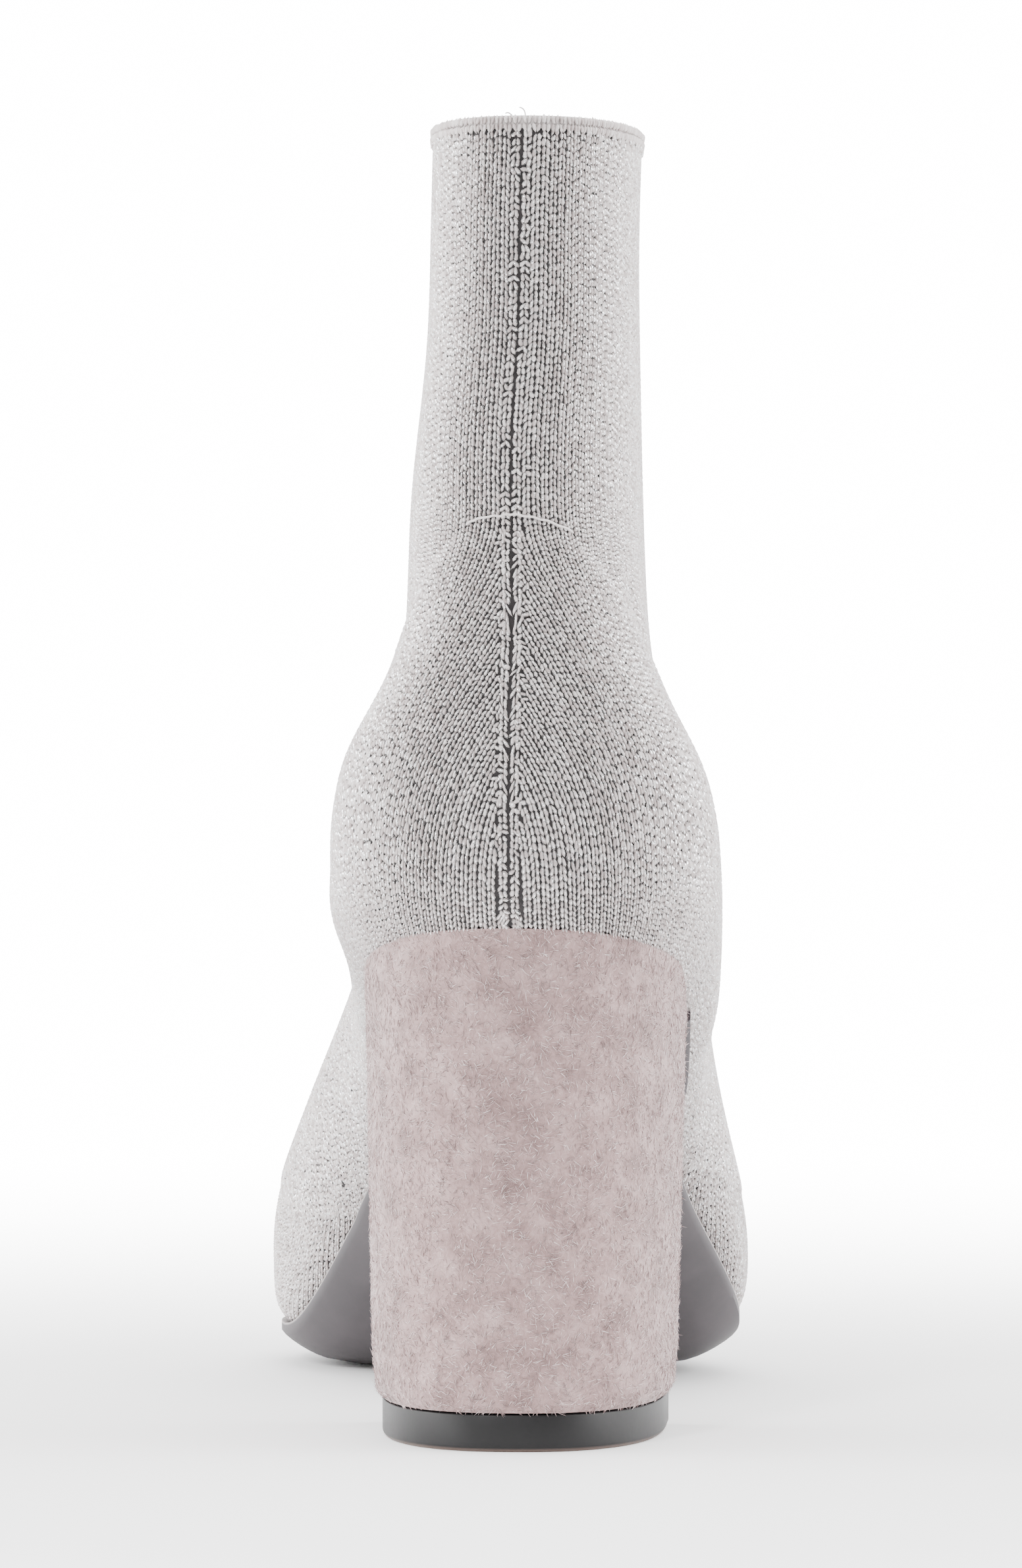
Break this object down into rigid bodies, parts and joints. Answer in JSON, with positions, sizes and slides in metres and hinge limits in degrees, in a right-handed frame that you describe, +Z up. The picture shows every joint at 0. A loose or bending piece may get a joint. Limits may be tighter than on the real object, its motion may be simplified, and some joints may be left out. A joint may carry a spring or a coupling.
{
  "type": "block heel ankle boot",
  "caption": "Knitted sock ankle boot with an almond toe on a tall block heel, standing empty; pull-on, for the right foot.",
  "frame": {"origin": "on the floor, at the middle of the underside of the heel's top piece", "axes": "+Y forward from the back of the heel to the toe, +X to the outer side of the foot, +Z up"},
  "size_m": [0.0933, 0.2402, 0.2325],
  "materials": {
    "knit": "stockinette of pale pinkish-grey yarn with silver metallic thread",
    "insole": "matt lining leather on board",
    "outsole": "satin dark grey-brown rubber sheet",
    "heel_cover": "mauve-taupe suede with a short loose nap",
    "top_piece": "smooth satin charcoal rubber"
  },
  "bodies": {
    "root": {"upper": "knit", "insole": "insole", "outsole": "outsole", "heel": "heel_cover", "top_piece": "top_piece"}
  },
  "joints": []
}
